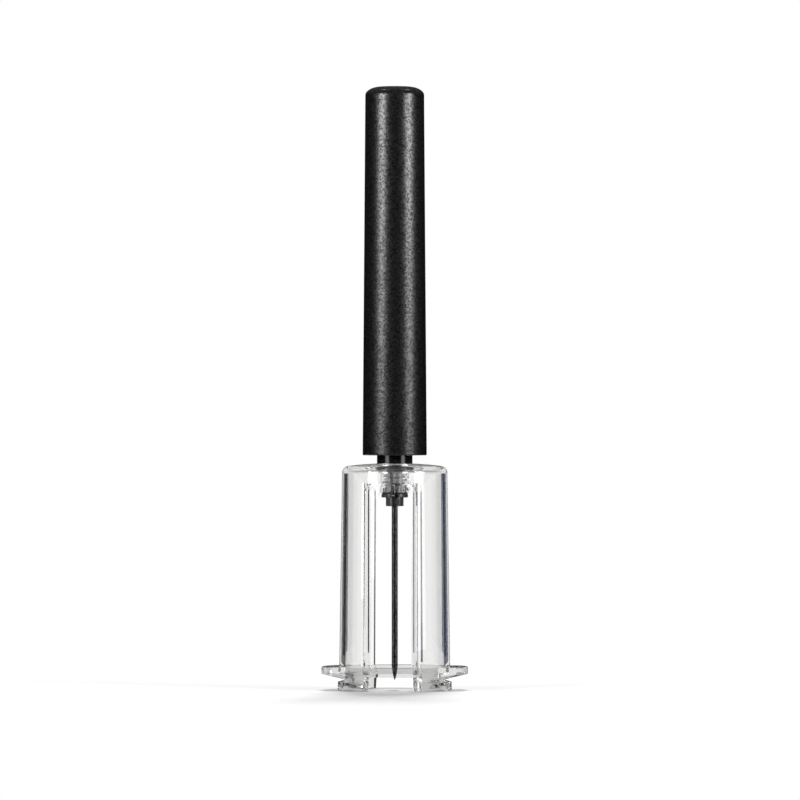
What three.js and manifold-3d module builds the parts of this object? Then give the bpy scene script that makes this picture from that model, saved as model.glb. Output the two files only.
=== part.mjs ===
// Air-pump wine opener. A slim handle slides on a pump barrel and pushes air through a hollow needle into
// the bottle, until the cork rises. A clear sleeve drops over the bottle neck and keeps the needle on the
// cork's axis. Millimetres, +Z up along the pump axis, z = 0 on the surface that the feet stand on. The two
// sleeve windows face -Y (front) and +Y (back), and the two finger wings point along -X and +X.
import * as THREE from "three";
import { mergeVertices } from "three/addons/utils/BufferGeometryUtils.js";
import Module from "manifold-3d";

const wasm = await Module();
wasm.setup();

// ---------------------------------------------------------------- driving dimensions
// Fits
const runGap = 0.1; // radial, between pieces that slide or turn on each other
const seatGap = 0.05; // between pieces that are fixed together
const edgeBevel = 0.3; // on small turned edges
const bite = 0.3; // how far a joined form runs into its neighbour
const past = 1; // how far a cut runs past the face it opens

// Base ring: two feet, a closed band that ties the sleeve's legs, two finger wings
const footWall = 3.8;
const footHeight = 3;
const footBevel = 0.4;
const grooveOpening = 1.6;
const grooveDepth = 2.7;
const grooveToSlot = 0.6;
const bandHeight = 3.3;
const bandWall = 4.2;
const wingLength = 5.5;
const wingHalfDepth = 12.5;
const wingTipThickness = 2.7;
const wingEdgeRadius = 0.5;
const leadIn = 0.9;
const legSocketDepth = 2.6;
const legLedge = 1.15; // from the sleeve's bore in to the base ring's bore
const slotHalfAngle = 28; // degrees, from the slot's middle to each of its radial sides
const cheekProud = 0.5;
const cheekTopInset = 5.2; // from the foot's outer radius to the cheek's slanted edge
const cheekFootInset = 9.7;
const cheekLift = 0.4;

// Clear sleeve
const boreRadiusBase = 17.85;
const boreRadiusTop = 17.2;
const wallBase = 2.15;
const wallTop = 1.75;
const ribInner = 15.1; // from the axis, just past the lip of a wine bottle
const ribThickness = 1.9;
const ribRound = 1.6; // on the edge that leads the bottle's lip in
const ribRoot = 18.4;
const windowHalfAngle = 28.6; // degrees, from the window's middle to each of its radial sides
const windowCorner = 3.6;
const windowBelowRoof = 4.3;
const roofThickness = 2.6; // from the dome's top to its flat underside
const domeRise = 0.8;
const shoulderRadius = 2.5;
const innerShoulderRadius = 0.9;
const bossRadius = 5.3;
const bossLength = 8.3; // of its thread, from the recess's floor
const finThickness = 1.1;
const finCount = 4;
const finReach = 14.6;
const finTipRadius = 7;
const finTipWidth = 0.6;
const finDrop = 1.9;

// Needle and its holder
const tipHeight = 3.6;
const needleExposed = 62.6;
const needleRadius = 1.1;
const needleBore = 0.6;
const needlePointLength = 5;
const needleTipRadius = 0.12;
const airHoleRadius = 0.4;
const airHoleAbovePoint = 3.3;
const ferruleWall = 0.55;
const ferruleLength = 1.5;
const nutRadius = 3.2;
const nutHeight = 3.1;
const nutGrooves = 18;
const nutGrooveDepth = 0.18;
const holderFlangeRadius = 4.8;
const holderFlangeThickness = 1.45;
const holderSpigotRadius = 2.55;
const holderSpigotLength = 4.7;
const holderGasketThickness = 0.35;

// Outlet plug, which closes the barrel's foot and holds the check valve
const collarRadius = 7.5;
const collarThickness = 1.4;
const collarChamfer = 0.7;
const sleeveGasketThickness = 0.4;
const threadRadius = 3.8;
const threadDepth = 0.55;
const threadPitch = 2.2;
const threadTurns = 3;
const airChannelRadius = 1.1;
const plugSpigotLength = 7.4;
const valveChamberRadius = 2.6;
const valveFloorThickness = 0.8;
const valveSeatThickness = 1.5;
const valveSeatRadius = 3.6;
const valvePortRadius = 1.1;
const checkBallRadius = 1.8;
const springWire = 0.15;
const springCoilRadius = 1.2;
const springTurns = 3.5;
const plugRingSection = 0.85;
const plugRingAbove = 2.3;

// Barrel, piston and rod
const barrelRadius = 6.4;
const barrelBore = 5.2;
const pistonLength = 9.4;
const pistonFloorGap = 0.6;
const sealSection = 0.95;
const sealFloat = 0.7;
const sealLandAbove = 2.9;
const intakeNotches = 4;
const intakeNotchWidth = 1.4;
const rodRadius = 2.5;
const rodTailRadius = 1.5;
const pistonNutAcross = 5.2;
const pistonNutHeight = 2.2;
const pistonNutRecess = 3.2;
const pistonNutRoom = 0.5; // round the nut, for a socket
const glandSpigotLength = 5.8;
const glandFlangeRadius = 8.3;
const glandFlangeThickness = 1.55;
const glandVentRadius = 0.45;
const bushWall = 0.85;
const guideRingHeight = 0.75;
const guideRingDepth = 0.7;
const bumperThickness = 1.05;
const bumperRadius = 6.5;
const closedGap = 0.3; // between rod anchor and bumper when the pump is closed
const bushShelf = 0.6;
const rodRoom = 0.3; // round the rod where the gland does not guide it

// Handle
const neckLength = 3;
const handleLength = 131.2;
const handleFootRadius = 11.55;
const handleHeadRadius = 10.6;
const handleBore = 8.8;
const handleFootFillet = 0.4;
const handleHeadCorner = 2;
const handleHeadSweep = 55; // degrees of the corner that lie on the tube; the cap carries it on
const mouthBushLength = 8;
const mouthBushInset = 0.4;
const anchorThickness = 5;
const anchorPocketDepth = 1.5;
const capDome = 1.55;
const capRim = 0.1;
const capInset = 0.1; // of the cap's rim from the handle's, which shows as a fine seam
const capWall = 1;
const capSkirt = 2.2;
const screwRadius = 1.5;
const screwHeadRadius = 2.9;
const screwHeadHeight = 1.6;
const screwHeadChamfer = 0.6;
const crossLength = 3.2;
const crossWidth = 0.7;
const crossDepth = 0.9;
const screwReach = 7;
const washerRadius = 3.4;
const washerThickness = 0.5;

// Facets round the axis
const largeFacets = 64;
const smallFacets = 32;
const needleFacets = 24;
const drillFacets = 12;
const coilSteps = 16; // per turn

// ---------------------------------------------------------------- stack of levels up the axis
const slotRoof = footHeight + grooveOpening + grooveToSlot;
const wingTop = slotRoof + bandHeight;
const legSeat = wingTop - legSocketDepth;
const holderBottom = tipHeight + needleExposed;
const holderFlangeBottom = holderBottom + nutHeight;
const holderFlangeTop = holderFlangeBottom + holderFlangeThickness;
const bossBottom = holderFlangeTop + holderGasketThickness + 2 * seatGap;
const recessFloor = bossBottom + bossLength;
const threadCore = threadRadius - threadDepth;
const threadRise = threadPitch * threadTurns;
const threadFoot = recessFloor - threadDepth - threadRise;
const collarBottom = recessFloor + sleeveGasketThickness + 2 * seatGap;
const collarTop = collarBottom + collarThickness;
const domeTop = collarTop + 2 * seatGap;
const plugSpigotTop = collarTop + plugSpigotLength;
const pistonBottom = plugSpigotTop + pistonFloorGap;
const pistonTop = pistonBottom + pistonLength;
const handleBottom = domeTop + neckLength;
const handleTop = handleBottom + handleLength;
const anchorTop = handleTop - capSkirt - closedGap;
const anchorBottom = anchorTop - anchorThickness;
const bumperBottom = anchorBottom - closedGap - bumperThickness;
const glandFlangeTop = bumperBottom - seatGap;
const glandFlangeBottom = glandFlangeTop - glandFlangeThickness;
const barrelBottom = collarTop + seatGap;
const barrelTop = glandFlangeBottom - seatGap;
const glandBottom = glandFlangeBottom - glandSpigotLength;

const ringBoreRadius = boreRadiusBase - legLedge;
const footRadius = ringBoreRadius + footWall;
const bandRadius = ringBoreRadius + bandWall;
const wingReach = bandRadius + wingLength;
const sleeveRadiusBase = boreRadiusBase + wallBase;
const sleeveRadiusTop = boreRadiusTop + wallTop;
const slotSpread = Math.tan(THREE.MathUtils.degToRad(slotHalfAngle)); // half width at unit distance
const windowSpread = Math.tan(THREE.MathUtils.degToRad(windowHalfAngle));

// ---------------------------------------------------------------- shape helpers
// A closed three.js geometry as a manifold-3d solid with its faces pointing out.
function solidOf(geometry) {
  const bare = geometry.index ? geometry.toNonIndexed() : geometry.clone();
  const merged = mergeVertices(
    new THREE.BufferGeometry().setAttribute("position", bare.getAttribute("position")),
    1e-4,
  );
  const vertProperties = merged.attributes.position.array;
  const triVerts = new Uint32Array(merged.index.array);
  const solid = new wasm.Manifold(new wasm.Mesh({ numProp: 3, vertProperties, triVerts }));
  if (solid.volume() > 0) return solid;
  for (let i = 0; i < triVerts.length; i += 3)
    [triVerts[i + 1], triVerts[i + 2]] = [triVerts[i + 2], triVerts[i + 1]];
  return new wasm.Manifold(new wasm.Mesh({ numProp: 3, vertProperties, triVerts }));
}

// A profile of [radius, height] points turned round Z.
function revolve(profile, facets = largeFacets) {
  const points = profile.map(([r, z]) => new THREE.Vector2(r, z));
  return solidOf(new THREE.LatheGeometry(points, facets).rotateX(Math.PI / 2));
}

// A ring of rectangular section with its lower face at z = from.
function ring(inner, outer, from, to, facets = largeFacets) {
  return revolve([[inner, from], [outer, from], [outer, to], [inner, to], [inner, from]], facets);
}

// A plain cylinder between two heights.
function rod(radius, from, to, facets = smallFacets) {
  return revolve([[0, from], [radius, from], [radius, to], [0, to]], facets);
}

// Points of an arc in the profile plane, from one angle to another, in degrees.
function arc(r, z, radius, fromDeg, toDeg, steps = 5) {
  return Array.from({ length: steps + 1 }, (_, i) => {
    const a = THREE.MathUtils.degToRad(fromDeg + ((toDeg - fromDeg) * i) / steps);
    return [r + radius * Math.cos(a), z + radius * Math.sin(a)];
  });
}

// A flat outline in X and Z, extruded along Y by depth and centred on y = 0.
function slabXZ(shape, depth) {
  const flat = new THREE.ExtrudeGeometry(shape, { depth, bevelEnabled: false });
  return solidOf(flat.translate(0, 0, -depth / 2).rotateX(Math.PI / 2));
}

// A flat outline in X and Y, extruded up from one height to another.
function prism(shape, from, to) {
  return solidOf(new THREE.ExtrudeGeometry(shape, { depth: to - from, bevelEnabled: false }).translate(0, 0, from));
}

// A box between two corners.
function block(x0, y0, z0, x1, y1, z1) {
  const box = new THREE.BoxGeometry(x1 - x0, y1 - y0, z1 - z0);
  return solidOf(box.translate((x0 + x1) / 2, (y0 + y1) / 2, (z0 + z1) / 2));
}

function polygon(points) {
  return new THREE.Shape(points.map(([x, y]) => new THREE.Vector2(x, y)));
}

// Cuts both walls of a tube, front and back, between two distances from the axis. The outline holds half
// widths at unit distance, and they grow with the distance, so that the cut's sides are radial.
function radialSlots(outline, from, to) {
  const cut = new THREE.ExtrudeGeometry(outline, { depth: to - from, bevelEnabled: false, curveSegments: 6 });
  cut.translate(0, 0, -to).rotateX(Math.PI / 2);
  const corners = cut.getAttribute("position");
  for (let i = 0; i < corners.count; i++) corners.setX(i, corners.getX(i) * corners.getY(i));
  const back = solidOf(cut);
  return back.add(back.mirror([0, 1, 0]));
}

// A copy of a solid for each of count equal turns round Z, joined.
function aroundAxis(solid, count, startDeg = 0) {
  return wasm.Manifold.union(
    Array.from({ length: count }, (_, i) => solid.rotate([0, 0, startDeg + (360 * i) / count])),
  );
}

class Helix extends THREE.Curve {
  constructor(radius, height, turns) {
    super();
    this.radius = radius;
    this.height = height;
    this.turns = turns;
  }

  getPoint(t, target = new THREE.Vector3()) {
    const a = 2 * Math.PI * this.turns * t;
    return target.set(this.radius * Math.cos(a), this.radius * Math.sin(a), this.height * t);
  }
}

// A round wire wound on a helix that starts at z = 0.
function coil(radius, wire, height, turns, halfSides) {
  const section = new THREE.Shape().absarc(0, 0, wire, 0, 2 * Math.PI);
  return solidOf(
    new THREE.ExtrudeGeometry(section, {
      steps: Math.round(turns * coilSteps),
      curveSegments: halfSides,
      bevelEnabled: false,
      extrudePath: new Helix(radius, height, turns),
    }),
  );
}

// The plug's thread, from z = 0. The boss's thread is the same ridge, fuller by the clearance.
function threadRidge(section) {
  return coil(threadCore, section, threadRise, threadTurns, 4);
}

// An O-ring centred on z = 0.
function roundRing(middleRadius, section) {
  return solidOf(new THREE.TorusGeometry(middleRadius, section, 8, smallFacets));
}

// ---------------------------------------------------------------- materials
const clearPlastic = { color: 0xf2f5f5, roughness: 0.05, metalness: 0, transparent: true, opacity: 0.35 };
const blackHandle = { color: 0x17181a, roughness: 0.5, metalness: 0 };
const blackPlastic = { color: 0x101012, roughness: 0.28, metalness: 0 };
const blackCoating = { color: 0x1b1b1b, roughness: 0.55, metalness: 0.2 };
const steel = { color: 0xb9bcc0, roughness: 0.28, metalness: 1 };
const rubber = { color: 0x141414, roughness: 0.8, metalness: 0 };
const bearingPlastic = { color: 0xe6e2d6, roughness: 0.45, metalness: 0 };

const opener = new THREE.Group();

// Adds a solid to the assembly as a named mesh, lifted to its seat.
function add(name, solid, material, seat = 0) {
  const { vertProperties, triVerts, numProp, numVert } = solid.getMesh();
  const positions = new Float32Array(numVert * 3);
  for (let i = 0; i < numVert; i++)
    positions.set(vertProperties.subarray(i * numProp, i * numProp + 3), i * 3);
  const geometry = new THREE.BufferGeometry()
    .setAttribute("position", new THREE.BufferAttribute(positions, 3))
    .setIndex(new THREE.BufferAttribute(triVerts, 1));
  geometry.computeVertexNormals();
  const mesh = new THREE.Mesh(geometry, new THREE.MeshStandardMaterial(material));
  mesh.name = name;
  mesh.position.z = seat;
  opener.add(mesh);
}

// ---------------------------------------------------------------- base ring
// Stands on two feet, left and right of the slot. The band above the slot holds the sleeve's two legs in
// pockets, and the wings give the fingers a hold. Four cheeks with slanted edges stiffen the slot's corners.
function baseRing() {
  const grooveRadius = footRadius - grooveDepth;
  const wingRoot = footHeight + grooveOpening;
  const wingTip = wingReach - wingEdgeRadius;
  const body = revolve([
    [ringBoreRadius + leadIn, 0],
    [footRadius - footBevel, 0],
    [footRadius, footBevel],
    [footRadius, footHeight],
    [grooveRadius, footHeight + grooveOpening / 2],
    [bandRadius, wingRoot],
    ...arc(wingTip, wingTop - wingTipThickness + wingEdgeRadius, wingEdgeRadius, -80, 0, 3),
    ...arc(wingTip, wingTop - wingEdgeRadius, wingEdgeRadius, 0, 90, 3),
    [ringBoreRadius, wingTop],
    [ringBoreRadius, slotRoof],
    [ringBoreRadius + leadIn, 0],
  ]);
  const wide = wingReach + past;
  const wings = block(-wide, -wingHalfDepth, -past, wide, wingHalfDepth, wingTop + past);
  const outline = rod(bandRadius, -past, wingTop + past, largeFacets).add(wings);
  const slotFrom = ringBoreRadius / 2;
  const slotTo = 2 * footRadius;
  const side = (spread, low, high) =>
    polygon([[-spread, low], [spread, low], [spread, high], [-spread, high]]);
  const footGap = radialSlots(side(slotSpread, -past, slotRoof), slotFrom, slotTo);
  const bridgeSpread = windowSpread - (2 * seatGap) / ringBoreRadius;
  const bridge = radialSlots(side(bridgeSpread, legSeat - past, wingTop + 2 * past), slotFrom, slotTo);
  const pocket = ring(ringBoreRadius - past, sleeveRadiusBase + seatGap, legSeat, wingTop + past);
  const cheek = polygon([
    [0, slotRoof],
    [footRadius - cheekTopInset, slotRoof],
    [footRadius - cheekFootInset, cheekLift],
    [0, cheekLift],
  ]);
  const cheekRing = ring(ringBoreRadius + leadIn, footRadius + cheekProud, 0, wingTop);
  const cheekSlab = slabXZ(cheek, 4 * footRadius);
  const cheeks = cheekSlab.add(cheekSlab.mirror([1, 0, 0])).intersect(cheekRing);
  return body.intersect(outline).add(cheeks).subtract(footGap).subtract(pocket.subtract(bridge));
}
add("base_ring", baseRing(), clearPlastic);

// ---------------------------------------------------------------- clear sleeve
// A tapered tube, open at the foot, with a thick roof that is domed above and flat below. The outlet plug's
// collar lies in the roof's recess and its thread runs in the boss's thread. Four fins under the roof steer
// the bottle's mouth to the middle, and two ribs beside the front window guide its lip.
function bottleSleeve() {
  const wallFoot = legSeat + seatGap;
  const shoulder = domeTop - domeRise;
  const recessRadius = collarRadius + seatGap;
  const roofUnder = domeTop - roofThickness;
  const domeHeight = (r) => domeTop - domeRise * ((r - recessRadius) / (sleeveRadiusTop - recessRadius)) ** 2;
  const outerEdge = sleeveRadiusTop - shoulderRadius;
  const domeMiddle = (recessRadius + outerEdge) / 2;
  const innerEdge = boreRadiusTop - innerShoulderRadius;
  const body = revolve([
    [boreRadiusBase, wallFoot],
    [sleeveRadiusBase, wallFoot],
    ...arc(outerEdge, shoulder - shoulderRadius, shoulderRadius, 0, 78),
    [domeMiddle, domeHeight(domeMiddle)],
    [recessRadius, domeTop],
    [recessRadius, recessFloor],
    [threadCore + runGap, recessFloor],
    [threadCore + runGap, bossBottom],
    [bossRadius, bossBottom],
    [bossRadius, roofUnder],
    ...arc(innerEdge, roofUnder - innerShoulderRadius, innerShoulderRadius, 90, 0, 3),
    [boreRadiusBase, wallFoot],
  ]);
  const windowTop = roofUnder - windowBelowRoof;
  const cornerSpread = windowCorner / sleeveRadiusTop;
  const cornerMiddle = windowSpread - cornerSpread;
  const window = new THREE.Shape()
    .moveTo(-windowSpread, 0)
    .lineTo(windowSpread, 0)
    .lineTo(windowSpread, windowTop - windowCorner)
    .absellipse(cornerMiddle, windowTop - windowCorner, cornerSpread, windowCorner, 0, Math.PI / 2)
    .absellipse(-cornerMiddle, windowTop - windowCorner, cornerSpread, windowCorner, Math.PI / 2, Math.PI);
  const ribOutline = polygon([
    [0, ribRoot],
    [0, ribInner],
    ...arc(ribThickness - ribRound, ribInner + ribRound, ribRound, -90, 0),
    [ribThickness, ribRoot],
  ]);
  const rib = prism(ribOutline, wallFoot, windowTop).rotate([0, 0, 180 - windowHalfAngle]);
  const ribs = rib.add(rib.mirror([1, 0, 0]));
  const windows = radialSlots(window, finReach - bite, sleeveRadiusBase + past);
  const fin = slabXZ(
    polygon([
      [bossRadius - bite, bossBottom + bite],
      [finTipRadius - finTipWidth, bossBottom - finDrop],
      [finTipRadius, bossBottom - finDrop],
      [finReach, roofUnder + bite],
      [bossRadius - bite, roofUnder + bite],
    ]),
    finThickness,
  );
  const groove = threadRidge(threadDepth + runGap).translate([0, 0, threadFoot]);
  const threaded = body.subtract(groove).add(ribs);
  return threaded.subtract(windows).add(aroundAxis(fin, finCount));
}
add("bottle_sleeve", bottleSleeve(), clearPlastic);

// ---------------------------------------------------------------- needle and holder
// The hollow needle ends in a closed point, and the air leaves by a side hole above it.
function needle() {
  const length = needleExposed + nutHeight + holderFlangeThickness + holderSpigotLength - seatGap;
  const pointTop = needlePointLength;
  const tube = revolve(
    [
      [0, 0],
      [needleTipRadius, 0],
      [needleRadius, pointTop],
      [needleRadius, length],
      [needleBore, length],
      [needleBore, pointTop + airHoleAbovePoint - 2 * airHoleRadius],
      [0, pointTop + airHoleAbovePoint - 3 * airHoleRadius],
    ],
    needleFacets,
  );
  const drill = rod(airHoleRadius, 0, needleRadius + past, drillFacets).rotate([90, 0, 0]);
  return tube.subtract(drill.translate([0, 0, pointTop + airHoleAbovePoint]));
}
add("needle", needle(), blackCoating, tipHeight);

const needleHoleRadius = needleRadius + seatGap;
const ferruleRadius = needleHoleRadius + ferruleWall;

// The collar crimped on the needle's top, which hangs in the holder's counterbore.
add(
  "needle_ferrule",
  ring(needleHoleRadius, ferruleRadius, 0, ferruleLength, needleFacets),
  steel,
  holderFlangeTop + holderSpigotLength - ferruleLength - seatGap,
);

// Finger nut with a flange that closes on the sleeve's boss, and a spigot up into the plug's socket.
function needleHolder() {
  const flangeBottom = nutHeight;
  const flangeTop = flangeBottom + holderFlangeThickness;
  const spigotTop = flangeTop + holderSpigotLength;
  const body = revolve(
    [
      [needleHoleRadius, 0],
      [nutRadius - edgeBevel, 0],
      [nutRadius, edgeBevel],
      [nutRadius, flangeBottom],
      [holderFlangeRadius - edgeBevel, flangeBottom],
      [holderFlangeRadius, flangeBottom + edgeBevel],
      [holderFlangeRadius, flangeTop],
      [holderSpigotRadius, flangeTop],
      [holderSpigotRadius, spigotTop],
      [ferruleRadius + seatGap, spigotTop],
      [ferruleRadius + seatGap, spigotTop - ferruleLength - 2 * seatGap],
      [needleHoleRadius, spigotTop - ferruleLength - 2 * seatGap],
      [needleHoleRadius, 0],
    ],
    nutGrooves * 2,
  );
  const groove = rod(2 * nutGrooveDepth, -past, flangeBottom - edgeBevel, drillFacets);
  const onRim = groove.translate([nutRadius + nutGrooveDepth, 0, 0]);
  return body.subtract(aroundAxis(onRim, nutGrooves, 180 / nutGrooves));
}
add("needle_holder", needleHolder(), blackPlastic, holderBottom);

add(
  "holder_gasket",
  ring(holderSpigotRadius + runGap, holderFlangeRadius - runGap, 0, holderGasketThickness, smallFacets),
  rubber,
  holderFlangeTop + seatGap,
);

// ---------------------------------------------------------------- outlet plug and check valve
const plugSpigotRadius = barrelBore - runGap;
const valveFloor = valveFloorThickness;
const valveSeatBottom = plugSpigotLength - valveSeatThickness - seatGap;
const plugRingLevel = plugRingAbove + plugRingSection;
const plugRingRadius = barrelBore - seatGap - plugRingSection;

// Its collar bears on the sleeve's roof, its thread fills the boss, and its spigot closes the barrel's
// foot. Inside are the valve chamber, the air channel and the socket for the needle holder.
function outletPlug() {
  const threadBottom = bossBottom - collarTop + seatGap;
  const socketRadius = holderSpigotRadius + seatGap;
  const socketTop = threadBottom + holderSpigotLength + 2 * seatGap;
  const grooveHalf = plugRingSection + seatGap;
  const grooveFloor = plugRingRadius - plugRingSection - seatGap;
  const body = revolve(
    [
      [socketRadius, threadBottom],
      [threadCore, threadBottom],
      [threadCore, -collarThickness],
      [collarRadius - edgeBevel, -collarThickness],
      [collarRadius, -collarThickness + edgeBevel],
      [collarRadius, -collarChamfer],
      [collarRadius - collarChamfer, 0],
      [plugSpigotRadius, 0],
      [plugSpigotRadius, plugRingLevel - grooveHalf],
      [grooveFloor, plugRingLevel - grooveHalf],
      [grooveFloor, plugRingLevel + grooveHalf],
      [plugSpigotRadius, plugRingLevel + grooveHalf],
      [plugSpigotRadius, plugSpigotLength],
      [valveSeatRadius + seatGap, plugSpigotLength],
      [valveSeatRadius + seatGap, valveSeatBottom - seatGap],
      [valveChamberRadius, valveSeatBottom - seatGap],
      [valveChamberRadius, valveFloor],
      [airChannelRadius, valveFloor],
      [airChannelRadius, socketTop],
      [socketRadius, socketTop],
      [socketRadius, threadBottom],
    ],
    smallFacets,
  );
  return body.add(threadRidge(threadDepth).translate([0, 0, threadFoot - collarTop]));
}
add("outlet_plug", outletPlug(), blackPlastic, collarTop);

add(
  "sleeve_gasket",
  ring(threadRadius + runGap, collarRadius - runGap, 0, sleeveGasketThickness, smallFacets),
  rubber,
  recessFloor + seatGap,
);
add("plug_ring", roundRing(plugRingRadius, plugRingSection), rubber, collarTop + plugRingLevel);

// Disc with the port that the ball closes from below.
add(
  "valve_seat",
  ring(valvePortRadius, valveSeatRadius, 0, valveSeatThickness, smallFacets),
  steel,
  collarTop + valveSeatBottom,
);

// The ball hangs just under the port's lower edge, where the spring holds it.
const ballDrop = Math.sqrt(checkBallRadius ** 2 - valvePortRadius ** 2) + seatGap;
const ballLevel = collarTop + valveSeatBottom - ballDrop;
add("check_ball", solidOf(new THREE.SphereGeometry(checkBallRadius, 24, 16)), steel, ballLevel);

// The spring fills the space from the chamber's floor to the ball.
const springFloor = collarTop + valveFloor + springWire + seatGap;
const springTouch = Math.sqrt(checkBallRadius ** 2 - springCoilRadius ** 2);
const springHeight = ballLevel - springTouch - 2 * springWire - springFloor;
add("valve_spring", coil(springCoilRadius, springWire, springHeight, springTurns, 4), steel, springFloor);

// ---------------------------------------------------------------- barrel and gland
add("pump_barrel", ring(barrelBore, barrelRadius, 0, barrelTop - barrelBottom), blackPlastic, barrelBottom);

const bushRadius = rodRadius + runGap + bushWall;
const bushLength = glandSpigotLength + glandFlangeThickness - bushShelf - 2 * seatGap;
const guideRingRadius = handleBore - runGap;

// Closes the barrel's head. Its rim carries the guide ring, and two vents let the air above the piston out.
function barrelGland() {
  const ringMiddle = glandFlangeThickness / 2;
  const grooveHalf = guideRingHeight / 2 + seatGap;
  const grooveFloor = glandFlangeRadius - guideRingDepth;
  const body = revolve(
    [
      [rodRadius + rodRoom, -glandSpigotLength],
      [barrelBore - runGap, -glandSpigotLength],
      [barrelBore - runGap, 0],
      [glandFlangeRadius, 0],
      [glandFlangeRadius, ringMiddle - grooveHalf],
      [grooveFloor, ringMiddle - grooveHalf],
      [grooveFloor, ringMiddle + grooveHalf],
      [glandFlangeRadius, ringMiddle + grooveHalf],
      [glandFlangeRadius, glandFlangeThickness],
      [bushRadius + seatGap, glandFlangeThickness],
      [bushRadius + seatGap, -glandSpigotLength + bushShelf],
      [rodRadius + rodRoom, -glandSpigotLength + bushShelf],
      [rodRadius + rodRoom, -glandSpigotLength],
    ],
    smallFacets,
  );
  const ventRadius = (bushRadius + barrelBore) / 2;
  const vent = rod(glandVentRadius, -glandSpigotLength - past, glandFlangeThickness + past, drillFacets);
  return body.subtract(aroundAxis(vent.translate([ventRadius, 0, 0]), 2));
}
add("barrel_gland", barrelGland(), blackPlastic, glandFlangeBottom);
add(
  "rod_bush",
  ring(rodRadius + runGap, bushRadius, 0, bushLength, smallFacets),
  bearingPlastic,
  glandBottom + bushShelf + seatGap,
);
add(
  "guide_ring",
  ring(glandFlangeRadius - guideRingDepth + seatGap, guideRingRadius, 0, guideRingHeight),
  bearingPlastic,
  glandFlangeBottom + (glandFlangeThickness - guideRingHeight) / 2,
);
add(
  "gland_bumper",
  ring(bushRadius + 2 * runGap, bumperRadius, 0, bumperThickness, smallFacets),
  rubber,
  bumperBottom,
);

// ---------------------------------------------------------------- piston and rod
const sealRadius = barrelBore - seatGap - sealSection;
const sealGrooveTop = pistonLength - sealLandAbove;
const sealLevel = sealGrooveTop - sealSection - seatGap;
const sealGrooveBottom = sealLevel - sealSection - seatGap - sealFloat;
const sealGrooveFloor = sealRadius - sealSection - seatGap;

// The seal floats in its groove: it closes on the upper land as the handle goes down, and drops off it as
// the handle comes up, so that air passes by the notches in the lower land.
function piston() {
  const nutRoomRadius = pistonNutAcross / Math.sqrt(3) + pistonNutRoom;
  const body = revolve(
    [
      [rodTailRadius + seatGap, pistonNutRecess],
      [nutRoomRadius, pistonNutRecess],
      [nutRoomRadius, 0],
      [barrelBore - runGap, 0],
      [barrelBore - runGap, sealGrooveBottom],
      [sealGrooveFloor, sealGrooveBottom],
      [sealGrooveFloor, sealGrooveTop],
      [barrelBore - runGap, sealGrooveTop],
      [barrelBore - runGap, pistonLength],
      [rodTailRadius + seatGap, pistonLength],
      [rodTailRadius + seatGap, pistonNutRecess],
    ],
    smallFacets,
  );
  const notchHalf = intakeNotchWidth / 2;
  const notch = block(sealGrooveFloor, -notchHalf, -past, barrelBore, notchHalf, sealGrooveBottom + seatGap);
  return body.subtract(aroundAxis(notch, intakeNotches, 180 / intakeNotches));
}
add("piston", piston(), blackPlastic, pistonBottom);
add("piston_seal", roundRing(sealRadius, sealSection), rubber, pistonBottom + sealLevel);

// Hexagon nut on the rod's tail, in the recess under the piston.
const pistonNut = rod(pistonNutAcross / Math.sqrt(3), 0, pistonNutHeight, 6);
add(
  "piston_nut",
  pistonNut.subtract(rod(rodTailRadius + seatGap, -past, pistonNutHeight + past)),
  steel,
  pistonBottom + pistonNutRecess - pistonNutHeight - seatGap,
);

// The rod stands on the piston with its shoulder, and its top turns in the anchor's pocket.
const rodTop = anchorBottom + anchorPocketDepth - runGap;
function pistonRod() {
  const shoulder = pistonTop - pistonBottom + seatGap;
  const tail = pistonNutRecess - pistonNutHeight - seatGap;
  const top = rodTop - pistonBottom;
  return revolve(
    [
      [0, tail],
      [rodTailRadius, tail],
      [rodTailRadius, shoulder],
      [rodRadius, shoulder],
      [rodRadius, top],
      [screwRadius + seatGap, top],
      [screwRadius + seatGap, top - screwReach],
      [0, top - screwReach - screwRadius],
    ],
    smallFacets,
  );
}
add("piston_rod", pistonRod(), steel, pistonBottom);

// Screw and washer that hold the handle's anchor on the rod and let it turn.
const washerSeat = anchorTop + runGap;
add(
  "rod_washer",
  ring(screwRadius + seatGap, washerRadius, 0, washerThickness, smallFacets),
  steel,
  washerSeat,
);

function rodScrew() {
  const reach = washerSeat + washerThickness - rodTop + screwReach;
  const head = revolve(
    [
      [0, -reach],
      [screwRadius, -reach],
      [screwRadius, 0],
      [screwHeadRadius, 0],
      [screwHeadRadius, screwHeadHeight - screwHeadChamfer],
      [screwHeadRadius - screwHeadChamfer, screwHeadHeight],
      [0, screwHeadHeight],
    ],
    smallFacets,
  );
  const [halfLength, halfWidth] = [crossLength / 2, crossWidth / 2];
  const floor = screwHeadHeight - crossDepth;
  const blade = block(-halfLength, -halfWidth, floor, halfLength, halfWidth, screwHeadHeight + past);
  return head.subtract(blade.add(blade.rotate([0, 0, 90])));
}
add("rod_screw", rodScrew(), steel, washerSeat + washerThickness + seatGap);

// ---------------------------------------------------------------- handle
// A tube with a straight bore, slightly wider at its foot than at its head.
const headSweep = THREE.MathUtils.degToRad(handleHeadSweep);
function handleShell() {
  const cornerLevel = handleLength - handleHeadCorner * Math.sin(headSweep);
  return revolve([
    [handleBore, 0],
    ...arc(handleFootRadius - handleFootFillet, handleFootFillet, handleFootFillet, -90, 0, 4),
    ...arc(handleHeadRadius - handleHeadCorner, cornerLevel, handleHeadCorner, 0, handleHeadSweep),
    [handleBore, handleLength],
    [handleBore, 0],
  ]);
}
add("handle_shell", handleShell(), blackHandle, handleBottom);

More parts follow.
